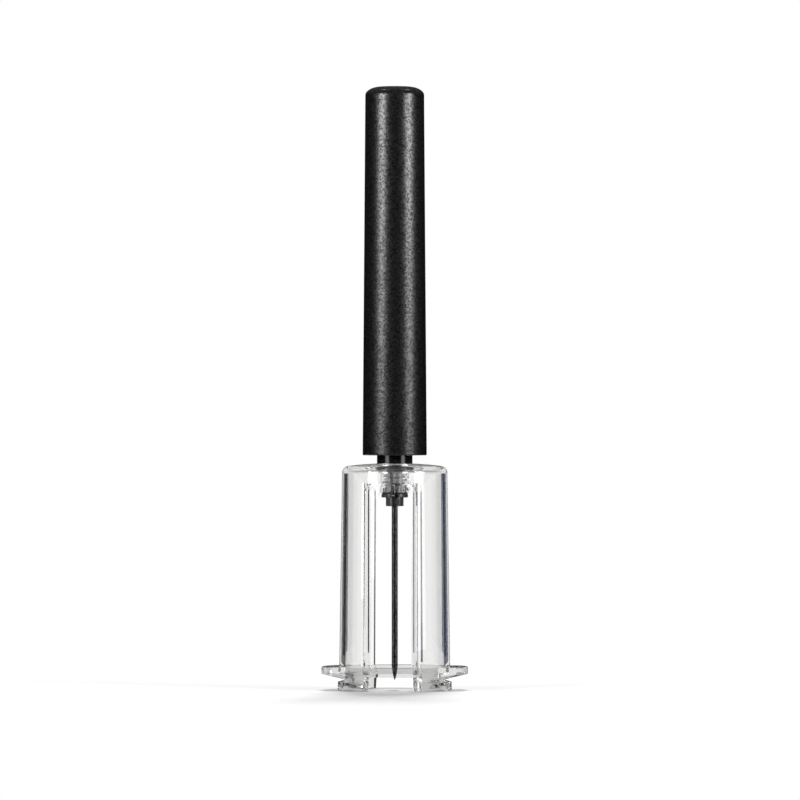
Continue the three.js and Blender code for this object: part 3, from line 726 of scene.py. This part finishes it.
def fins():
    """Upright plates between the boss and the roof, evenly round the axis."""
    bm = bmesh.new()
    corners = (
        (BOSS_RADIUS - BITE, boss_bottom + BITE),
        (FIN_TIP - FIN_TIP_WIDTH, boss_bottom - FIN_DROP),
        (FIN_TIP, boss_bottom - FIN_DROP),
        (FIN_REACH, under + BITE),
        (BOSS_RADIUS - BITE, under + BITE),
    )
    bm.faces.new([bm.verts.new((r, -FIN_THICKNESS / 2, z)) for r, z in corners])
    pushed = bmesh.ops.extrude_face_region(bm, geom=bm.faces[:])
    moved = [v for v in pushed["geom"] if isinstance(v, bmesh.types.BMVert)]
    bmesh.ops.translate(bm, vec=(0, FIN_THICKNESS, 0), verts=moved)
    one = bm.verts[:] + bm.edges[:] + bm.faces[:]
    bmesh.ops.spin(
        bm, geom=one, cent=(0, 0, 0), axis=(0, 0, 1), use_duplicate=True,
        angle=2 * math.pi * (FIN_COUNT - 1) / FIN_COUNT, steps=FIN_COUNT - 1,
    )
    bmesh.ops.recalc_face_normals(bm, faces=bm.faces)
    return bm


bell = combined(bell, fins(), "UNION")
piece("clear_sleeve", bell, "barrel_body", CLEAR, ["bottle_sleeve"])

# %% [markdown]
# The base is the second clear moulding. Its band ties the two legs of the sleeve together, two wings give
# the fingers a hold, and two feet stand left and right of the slot. It is turned, trimmed to the wings, and
# stiffened with slanted blocks at the corners of the slot. Then the slot and the pockets for the sleeve's
# legs are cut. Every mesh that goes into a cut is closed, and the blocks end a hair before the base's own
# flat faces, because a cut is safest where no two faces share a plane.

# %% Clear base
FOOT_RADIUS, FOOT_HEIGHT, FOOT_BEVEL = 20.5, 3, 0.4
GROOVE_OPENING, GROOVE_DEPTH = 1.6, 2.7
BAND_RADIUS, SLOT_ROOF, SLOT_HALF_ANGLE = 20.9, 5.2, 28
WING_REACH, WING_HALF_DEPTH = 26.4, 12.5
WING_TIP, WING_EDGE = 2.7, 0.5
LEAD_IN = 0.9
CHEEK_PROUD, CHEEK_TOP_INSET, CHEEK_FOOT_INSET, CHEEK_LIFT = 0.5, 5.2, 9.7, 0.4
LEG_SEAT, BRIDGE_INSET = 5.9, 0.3
WING_TIP_DRAFT, WING_TIP_TURN = 0.05, 80
WALL = 60.0  # well past every face
CUT_NEAR, CUT_FAR = 8, 42  # the cutters' distances from the axis
PAST = 3  # how far a cutter goes past a face
OVERLAP = 1
TRIM_LOW, TRIM_HIGH = -5, 20
SKIN_STEP = 0.01  # keeps two flat faces out of one plane

wing_top = level("base_ring")


def box_mesh(x, y, low, high):
    """A box that reaches x and y to both sides of the axis."""
    bm = bmesh.new()
    bmesh.ops.create_cube(bm, size=1)
    bmesh.ops.scale(bm, vec=(2 * x, 2 * y, high - low), verts=bm.verts)
    bmesh.ops.translate(bm, vec=(0, 0, (low + high) / 2), verts=bm.verts)
    return bm


def base_body():
    """The turned base, trimmed to a round band with two wings."""
    tip = WING_REACH - WING_EDGE
    tip_low = wing_top - WING_TIP
    body = turned(
        [
            (BORE_BASE + LEAD_IN, 0),
            (FOOT_RADIUS - FOOT_BEVEL, 0),
            (FOOT_RADIUS, FOOT_BEVEL, 90),
            (FOOT_RADIUS, FOOT_HEIGHT),
            (FOOT_RADIUS - GROOVE_DEPTH, FOOT_HEIGHT + GROOVE_OPENING / 2),
            (BAND_RADIUS, FOOT_HEIGHT + GROOVE_OPENING),
            (tip + WING_TIP_DRAFT, tip_low),
            (WING_REACH, tip_low + WING_EDGE, WING_TIP_TURN),
            (WING_REACH, wing_top - WING_EDGE),
            (tip, wing_top, 90),
            (BORE_BASE, wing_top),
            (BORE_BASE, SLOT_ROOF),
        ],
    )
    band = turned(
        [(0, TRIM_LOW), (BAND_RADIUS, TRIM_LOW), (BAND_RADIUS, TRIM_HIGH), (0, TRIM_HIGH)],
        closed=False,
    )
    wings = box_mesh(WALL, WING_HALF_DEPTH, TRIM_LOW + OVERLAP, TRIM_HIGH - OVERLAP)
    return combined(body, combined(band, wings, "UNION"), "INTERSECT")


def cheeks():
    """Four slanted blocks that stiffen the corners of the slot."""
    slab = bmesh.new()
    top = SLOT_ROOF - 2 * SKIN_STEP  # so that the slot's cut leaves no skin of the block
    at_top, at_foot = FOOT_RADIUS - CHEEK_TOP_INSET, FOOT_RADIUS - CHEEK_FOOT_INSET
    corners = ((-at_top, top), (at_top, top), (at_foot, CHEEK_LIFT), (-at_foot, CHEEK_LIFT))
    slab.faces.new([slab.verts.new((x, -WALL, z)) for x, z in corners])
    pushed = bmesh.ops.extrude_face_region(slab, geom=slab.faces[:])
    moved = [v for v in pushed["geom"] if isinstance(v, bmesh.types.BMVert)]
    bmesh.ops.translate(slab, vec=(0, 2 * WALL, 0), verts=moved)
    bmesh.ops.recalc_face_normals(slab, faces=slab.faces)
    around_bore = ring(BORE_BASE + LEAD_IN, FOOT_RADIUS + CHEEK_PROUD, SKIN_STEP, wing_top - SKIN_STEP)
    return combined(around_bore, slab, "INTERSECT")


base = combined(base_body(), cheeks(), "UNION")
slot = radial_slab(SLOT_HALF_ANGLE, -PAST, SLOT_ROOF, CUT_NEAR, CUT_FAR)
base = combined(base, slot, "DIFFERENCE")
bridge_angle = WINDOW_HALF_ANGLE - BRIDGE_INSET
bridge = radial_slab(bridge_angle, LEG_SEAT - OVERLAP, wing_top + PAST, CUT_NEAR, CUT_FAR)
pocket = ring(BORE_BASE - OVERLAP, SLEEVE_BASE + FIT, LEG_SEAT, wing_top + OVERLAP)
base = combined(base, combined(pocket, bridge, "DIFFERENCE"), "DIFFERENCE")
# The base's finish carries the painted shade of its darker tint.
piece("clear_base", base, "barrel_body", CLEAR_PAINTED_SHADE, ["base_ring"])

# %% [markdown]
# The plug closes the foot of the pump tube. Its collar sits in the recess of the clear dome and shows
# through it, and its thread shows as dark rings inside the clear boss. Inside are the channel for the
# air and the chamber of the valve. It is turned from one outline, and the thread's ridge is joined on.

# %% Air plug
COLLAR_RADIUS, COLLAR_THICKNESS, COLLAR_CHAMFER = 7.5, 1.4, 0.7
SPIGOT_RADIUS, SPIGOT_LENGTH = 5.1, 7.4
SOCKET_RADIUS, SOCKET_DEPTH = 2.6, 4.8
CHANNEL_RADIUS = 1.1
CHAMBER_RADIUS, CHAMBER_FLOOR = 2.6, 0.8
SEAT_RADIUS, SEAT_DEPTH = 3.65, 1.6
RING_GROOVE = 1.8
COLLAR_ROUND, CHAMFER_ROUND = 0.2, 0.1

collar_top = barrel_foot - FIT
collar_low = collar_top - COLLAR_THICKNESS
chamfer_low = collar_top - COLLAR_CHAMFER
chamfer_in = COLLAR_RADIUS - COLLAR_CHAMFER
spigot_top = collar_top + SPIGOT_LENGTH
plug_foot = level("outlet_plug", 0)
ring_low, ring_high = level("plug_ring", 0) - FIT, level("plug_ring") + FIT
groove_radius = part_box("plug_ring")[1].x / MM - RING_GROOVE
plug = turned([
    (SOCKET_RADIUS, plug_foot),
    (THREAD_CORE, plug_foot),
    (THREAD_CORE, collar_low),
    (COLLAR_RADIUS - COLLAR_ROUND, collar_low),
    (COLLAR_RADIUS, collar_low + COLLAR_ROUND, 90),
    (COLLAR_RADIUS, chamfer_low - CHAMFER_ROUND),
    (COLLAR_RADIUS - CHAMFER_ROUND, chamfer_low + CHAMFER_ROUND, 45),
    (chamfer_in + CHAMFER_ROUND, collar_top - CHAMFER_ROUND),
    (chamfer_in - CHAMFER_ROUND, collar_top, 45),
    (SPIGOT_RADIUS, collar_top),
    (SPIGOT_RADIUS, ring_low),
    (groove_radius, ring_low),
    (groove_radius, ring_high),
    (SPIGOT_RADIUS, ring_high),
    (SPIGOT_RADIUS, spigot_top),
    (SEAT_RADIUS, spigot_top),
    (SEAT_RADIUS, spigot_top - SEAT_DEPTH),
    (CHAMBER_RADIUS, spigot_top - SEAT_DEPTH),
    (CHAMBER_RADIUS, collar_top + CHAMBER_FLOOR),
    (CHANNEL_RADIUS, collar_top + CHAMBER_FLOOR),
    (CHANNEL_RADIUS, plug_foot + SOCKET_DEPTH),
    (SOCKET_RADIUS, plug_foot + SOCKET_DEPTH),
])
plug = combined(plug, thread(THREAD_DEPTH), "UNION")
piece("air_plug", plug, "barrel_body", GLOSS_BLACK, ["outlet_plug"])

# %% [markdown]
# Two flat rubber rings seal the plug, one under its collar and one above the nut. They differ only in
# size, so one loop makes both.

# %% Gaskets
for name, node_name, bore in (
    ("roof_gasket", "sleeve_gasket", THREAD_RADIUS + RUN_GAP),
    ("nut_gasket", "holder_gasket", SOCKET_RADIUS + FIT),
):
    gasket = ring(bore, reach(node_name), level(node_name, 0), level(node_name))
    piece(name, gasket, "barrel_body", RUBBER_BLACK, [node_name])

# %% [markdown]
# The needle is a steel tube with a black coating and a long pencil point. Its bore stops above the point,
# and the air comes out of a small hole in its front side. Its outline bends gently into the point, and
# the hole is drilled with a small cylinder, down to the bore.

# %% Needle
NEEDLE_RADIUS, NEEDLE_BORE, POINT_LENGTH = 1.1, 0.6, 5
TIP_RADIUS, TIP_RISE = 0.12, 0.05
AIR_HOLE_RADIUS, AIR_HOLE_ABOVE = 0.4, 3.3
NEEDLE_STEPS, DRILL_LENGTH = 48, 3
tip, needle_top = level("needle", 0), level("needle")
hole_level = tip + POINT_LENGTH + AIR_HOLE_ABOVE
needle = turned(
    [
        (0, tip),
        (TIP_RADIUS, tip + TIP_RISE, 60),
        (NEEDLE_RADIUS, tip + POINT_LENGTH, 14),
        (NEEDLE_RADIUS, needle_top),
        (NEEDLE_BORE, needle_top),
        (NEEDLE_BORE, hole_level - 2 * AIR_HOLE_RADIUS),
        (0, hole_level - 3 * AIR_HOLE_RADIUS),
    ],
    around_steps=NEEDLE_STEPS,
    closed=False,
)
drill = bmesh.new()
bmesh.ops.create_cone(
    drill, cap_ends=True, segments=24, radius1=AIR_HOLE_RADIUS, radius2=AIR_HOLE_RADIUS, depth=DRILL_LENGTH,
    matrix=Matrix.Translation((0, -DRILL_LENGTH / 2, hole_level)) @ Matrix.Rotation(math.pi / 2, 4, "X"),
)
needle = combined(needle, drill, "DIFFERENCE")
piece("hollow_needle", needle, "barrel_body", NEEDLE_BLACK, ["needle"])

# %% [markdown]
# The needle is held by a finger nut with a flange, screwed up under the boss. Fine grooves give the
# fingers a grip. They are cut with thin cylinders whose middles lie just outside the nut, copied round
# the axis.

# %% Needle holder
NUT_RADIUS, NUT_HEIGHT, NUT_GROOVES, GROOVE = 3.2, 3.1, 18, 0.18
GROOVE_EXTRA, GROOVE_SINK = 0.7, 0.65
NUT_ROUND, FLANGE_ROUND = 0.3, 0.2
HOLDER_STEPS = 144
FLANGE_RADIUS, FLANGE_THICKNESS = 4.8, 1.45
HOLDER_SPIGOT_RADIUS, HOLDER_SPIGOT_LENGTH = 2.55, 4.7
FERRULE_RADIUS, FERRULE_LENGTH = 1.75, 1.6

holder_foot, holder_top = level("needle_holder", 0), level("needle_holder")
flange_low = holder_foot + NUT_HEIGHT
flange_high = flange_low + FLANGE_THICKNESS
holder = turned(
    [
        (NEEDLE_RADIUS + FIT, holder_foot),
        (NUT_RADIUS - NUT_ROUND, holder_foot),
        (NUT_RADIUS, holder_foot + NUT_ROUND, 90),
        (NUT_RADIUS, flange_low),
        (FLANGE_RADIUS - NUT_ROUND, flange_low),
        (FLANGE_RADIUS, flange_low + NUT_ROUND, 90),
        (FLANGE_RADIUS, flange_high - FLANGE_ROUND),
        (FLANGE_RADIUS - FLANGE_ROUND, flange_high, 90),
        (HOLDER_SPIGOT_RADIUS, flange_high),
        (HOLDER_SPIGOT_RADIUS, holder_top),
        (FERRULE_RADIUS, holder_top),
        (FERRULE_RADIUS, holder_top - FERRULE_LENGTH),
        (NEEDLE_RADIUS + FIT, holder_top - FERRULE_LENGTH),
    ],
    around_steps=HOLDER_STEPS,
)
groove_middle = holder_foot + NUT_HEIGHT / 2 - GROOVE_SINK
grooves = bmesh.new()
bmesh.ops.create_cone(
    grooves, cap_ends=True, segments=16, radius1=2 * GROOVE, radius2=2 * GROOVE,
    depth=NUT_HEIGHT + GROOVE_EXTRA, matrix=Matrix.Translation((NUT_RADIUS + GROOVE, 0, groove_middle)),
)
one = grooves.verts[:] + grooves.edges[:] + grooves.faces[:]
bmesh.ops.spin(
    grooves, geom=one, cent=(0, 0, 0), axis=(0, 0, 1), use_duplicate=True,
    angle=2 * math.pi * (NUT_GROOVES - 1) / NUT_GROOVES, steps=NUT_GROOVES - 1,
)
bmesh.ops.recalc_face_normals(grooves, faces=grooves.faces)
holder = combined(holder, grooves, "DIFFERENCE")
piece("needle_nut", holder, "barrel_body", GLOSS_BLACK, ["needle_holder"])

# %% [markdown]
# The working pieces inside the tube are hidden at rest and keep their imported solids. Each still gets its
# own finish, so that the opener is right when it is taken apart.

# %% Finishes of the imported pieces
INSIDE = {
    STEEL: ["piston_rod", "piston_nut", "rod_screw", "rod_washer", "valve_seat", "valve_spring",
            "check_ball", "needle_ferrule"],
    RUBBER_BLACK: ["piston_seal", "plug_ring", "gland_bumper"],
    IVORY: ["rod_bush", "guide_ring"],
    GLOSS_BLACK: ["piston", "barrel_gland", "rod_anchor"],
}
for finish, names in INSIDE.items():
    for name in names:
        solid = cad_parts[name]
        solid.data.materials.clear()
        solid.data.materials.append(finish)
print("packed pieces with a finish:", sum(len(names) for names in INSIDE.values()))

# %% [markdown]
# The studio begins with the surround. The camera sees it, directly or through the clear plastic, as plain
# white at eye level and darker high up, which gives the clear pieces their grey tones. In reflections and
# as a light it is weak: a quarter as bright straight above, and dark at eye level and below.

# %% World
world = bpy.data.worlds.new("studio")
scene.world = world
world.use_nodes = True
sky = world.node_tree
backdrop = sky.nodes["Background"]
path = node(sky, "ShaderNodeLightPath")
seen = node(sky, "ShaderNodeMath", operation="MAXIMUM")
sky.links.new(path.outputs["Is Camera Ray"], seen.inputs[0])
sky.links.new(path.outputs["Is Transmission Ray"], seen.inputs[1])
direction = node(sky, "ShaderNodeTexCoord")
axes = node(sky, "ShaderNodeSeparateXYZ")
sky.links.new(direction.outputs["Generated"], axes.inputs["Vector"])
AMBIENT_LOW, AMBIENT_HIGH = 0.0, 0.25
THROUGH_TOP = 0.3
fill = swing(sky, axes.outputs["Z"], AMBIENT_LOW, AMBIENT_HIGH, centre=0.5)
through_high = swing(sky, axes.outputs["Z"], 1.0, THROUGH_TOP, centre=0.4, spread=0.3)
strength = node(sky, "ShaderNodeMix", data_type="FLOAT")
sky.links.new(seen.outputs["Value"], strength.inputs["Factor"])
sky.links.new(fill, strength.inputs[2])
sky.links.new(through_high, strength.inputs[3])
sky.links.new(strength.outputs[0], backdrop.inputs["Strength"])
backdrop.inputs["Color"].default_value = (1, 1, 1, 1)
world.cycles.sampling_method = "NONE"
print("surround:", AMBIENT_LOW, "to", AMBIENT_HIGH, "as a light")

# %% [markdown]
# Two tall soft boxes, left and right of the camera, draw the two long highlights on the handle. A plain
# tall lamp would shine as brightly in the clear sleeve and the glossy tube, so each box is stacked from
# three parts: dim low down, where those two mirror it, bright in the middle, and less bright above. The
# handle's rough skin blurs the three into one highlight. A lamp high behind the opener lights the floor
# and gives the soft shadow. It isn't seen in reflections or through the plastic.

# %% Lamps
def lamp(name, place, target, width, height, glow):
    """A rectangular soft lamp. Its glow is how bright it looks, where 1 is white paper."""
    light = bpy.data.lights.new(name, "AREA")
    light.shape = "RECTANGLE"
    light.size = width
    light.size_y = height
    light.energy = glow * math.pi * width * height
    made = bpy.data.objects.new(name, light)
    scene.collection.objects.link(made)
    made.location = place
    look(made, target)
    return made


SIDE_DISTANCE, SIDE_WIDTH = 0.7, 0.29
SIDE_TURNS = {"left": CAMERA_AZIMUTH - 50, "right": CAMERA_AZIMUTH + 56}
SIDE_PARTS = (  # name, foot and top in metres, and glow
    ("low", 0.01, 0.21, 3.0),
    ("high", 0.21, 0.33, 23.0),
    ("top", 0.33, 0.45, 8.0),
)
OVERHEAD_PLACE, OVERHEAD_TARGET = around(180, 0.5, 1.1), Vector((0, 0, 0.05))
OVERHEAD_SIZE, OVERHEAD_GLOW = 0.3, 48.0
for side, turn in SIDE_TURNS.items():
    for part, low, high, glow in SIDE_PARTS:
        height = (low + high) / 2
        place = around(turn, SIDE_DISTANCE, height)
        lamp(f"softbox_{side}_{part}", place, Vector((0, 0, height)), SIDE_WIDTH, high - low, glow)
overhead = lamp(
    "overhead", OVERHEAD_PLACE, OVERHEAD_TARGET, OVERHEAD_SIZE, OVERHEAD_SIZE, OVERHEAD_GLOW
)
overhead.visible_glossy = overhead.visible_transmission = False

# %% [markdown]
# Clear plastic shows only what lies behind and beside it, so in a white room it has no edges. Studios put
# black cards just outside the picture, and so does this one. The curved walls bend the view sideways until
# it meets a card, and that draws the dark lines. Nothing but light that has come through the plastic
# sees the cards. The near pair is wide, and shows only in light that was also mirrored inside the
# plastic, which happens mostly at the outer edges of the sleeve. The far pair is narrow, and shows only in
# light that wasn't. It darkens the steep walls. Its price is that a low camera, some 15 to 45 degrees to
# either side of the front, looks straight through the sleeve at a card and sees a dark rectangle.

# %% Dark screens
SCREEN_FOOT, SCREEN_TOP = -0.05, 0.0795
SCREEN_STEPS = 24
SCREEN_SHADES = (("left", 1, (0.03, 0.03, 0.035)), ("right", -1, (0.05, 0.06, 0.10)))
SCREEN_KINDS = (("near", 22, 75, 0.25), ("far", 22, 36, 0.38))  # name, two azimuths, distance
ONCE_MIRRORED = 0.5  # between no mirroring on a ray's way and one


def screen(name, start, end, distance, shade, mirrored):
    """An upright strip that curves round the opener between two azimuths."""
    bm = bmesh.new()
    edge = [bm.verts.new(around(start, distance, height)) for height in (SCREEN_FOOT, SCREEN_TOP)]
    upright = bm.edges.new(edge)
    bmesh.ops.spin(
        bm, geom=edge + [upright], cent=(0, 0, 0), axis=(0, 0, 1),
        angle=math.radians(end - start), steps=SCREEN_STEPS,
    )
    mesh = bpy.data.meshes.new(name)
    bm.to_mesh(mesh)
    bm.free()
    material = bpy.data.materials.new(name)
    material.use_nodes = True
    tree = material.node_tree
    tree.nodes.remove(tree.nodes["Principled BSDF"])
    glow = node(tree, "ShaderNodeEmission")
    glow.inputs["Color"].default_value = (*shade, 1)
    unseen = node(tree, "ShaderNodeBsdfTransparent")
    path = node(tree, "ShaderNodeLightPath")
    chosen = node(tree, "ShaderNodeMath", operation="GREATER_THAN" if mirrored else "LESS_THAN")
    chosen.inputs[1].default_value = ONCE_MIRRORED
    tree.links.new(path.outputs["Glossy Depth"], chosen.inputs[0])
    shown = node(tree, "ShaderNodeMixShader")
    tree.links.new(chosen.outputs["Value"], shown.inputs["Fac"])
    tree.links.new(unseen.outputs["BSDF"], shown.inputs[1])
    tree.links.new(glow.outputs["Emission"], shown.inputs[2])
    tree.links.new(shown.outputs["Shader"], tree.nodes["Material Output"].inputs["Surface"])
    mesh.materials.append(material)
    made = bpy.data.objects.new(name, mesh)
    scene.collection.objects.link(made)
    made.visible_camera = made.visible_diffuse = made.visible_glossy = made.visible_shadow = False


BEHIND = 180 + CAMERA_AZIMUTH
for side, hand, shade in SCREEN_SHADES:
    for kind, inner, outer, distance in SCREEN_KINDS:
        ends = sorted((BEHIND + hand * inner, BEHIND + hand * outer))
        screen(f"screen_{side}_{kind}", *ends, distance, shade, kind == "near")
print("screens:", len(SCREEN_SHADES) * len(SCREEN_KINDS))

# %% [markdown]
# The floor is pale paper that takes the opener's shadow near it and turns into plain white further out, so
# that no horizon shows. The change goes by the distance from the opener, and only in what the camera sees
# directly or through the plastic. For light, the floor is paper everywhere. Reflections leave it out,
# which keeps the black pieces black.

# %% Floor
FLOOR_RADIUS = 3.0
PAPER = (0.74, 0.74, 0.74, 1)
FADE_START, FADE_END = 0.12, 0.32

floor_bm = bmesh.new()
bmesh.ops.create_circle(floor_bm, cap_ends=True, radius=FLOOR_RADIUS, segments=128)
floor_mesh = bpy.data.meshes.new("floor")
floor_bm.to_mesh(floor_mesh)
floor_bm.free()
floor = bpy.data.objects.new("floor", floor_mesh)
scene.collection.objects.link(floor)
floor.visible_glossy = False
paper = bpy.data.materials.new("paper_floor")
paper.use_nodes = True
tree = paper.node_tree
matte = tree.nodes["Principled BSDF"]
matte.inputs["Roughness"].default_value = 0.9
matte.inputs["Specular IOR Level"].default_value = 0
matte.inputs["Base Color"].default_value = PAPER
white = node(tree, "ShaderNodeEmission")
white.inputs["Strength"].default_value = 1
place = node(tree, "ShaderNodeTexCoord")
length = node(tree, "ShaderNodeVectorMath", operation="LENGTH")
tree.links.new(place.outputs["Object"], length.inputs[0])
far = node(tree, "ShaderNodeMapRange", interpolation_type="SMOOTHSTEP")
far.inputs["From Min"].default_value = FADE_START
far.inputs["From Max"].default_value = FADE_END
tree.links.new(length.outputs["Value"], far.inputs["Value"])
path = node(tree, "ShaderNodeLightPath")
shown = node(tree, "ShaderNodeMath", operation="MAXIMUM")
tree.links.new(path.outputs["Is Camera Ray"], shown.inputs[0])
tree.links.new(path.outputs["Is Transmission Ray"], shown.inputs[1])
share = node(tree, "ShaderNodeMath", operation="MULTIPLY")
tree.links.new(far.outputs["Result"], share.inputs[0])
tree.links.new(shown.outputs["Value"], share.inputs[1])
cover = node(tree, "ShaderNodeMixShader")
tree.links.new(share.outputs["Value"], cover.inputs["Fac"])
tree.links.new(matte.outputs["BSDF"], cover.inputs[1])
tree.links.new(white.outputs["Emission"], cover.inputs[2])
tree.links.new(cover.outputs["Shader"], tree.nodes["Material Output"].inputs["Surface"])
floor_mesh.materials.append(paper)
print("floor: white from", FADE_END, "m")

# %% [markdown]
# A ray through the sleeve can meet a dozen clear surfaces, and more where it is mirrored inside them, so it
# is followed for many bounces. Focused light on the floor is left out, because it would only be noise.

# %% Picture settings
MANY_BOUNCES = 32

scene.view_settings.view_transform = "Standard"
scene.cycles.max_bounces = MANY_BOUNCES
scene.cycles.transmission_bounces = MANY_BOUNCES
scene.cycles.transparent_max_bounces = MANY_BOUNCES
scene.cycles.glossy_bounces = 24
scene.cycles.caustics_refractive = False
scene.cycles.caustics_reflective = False
print("bounces:", MANY_BOUNCES)
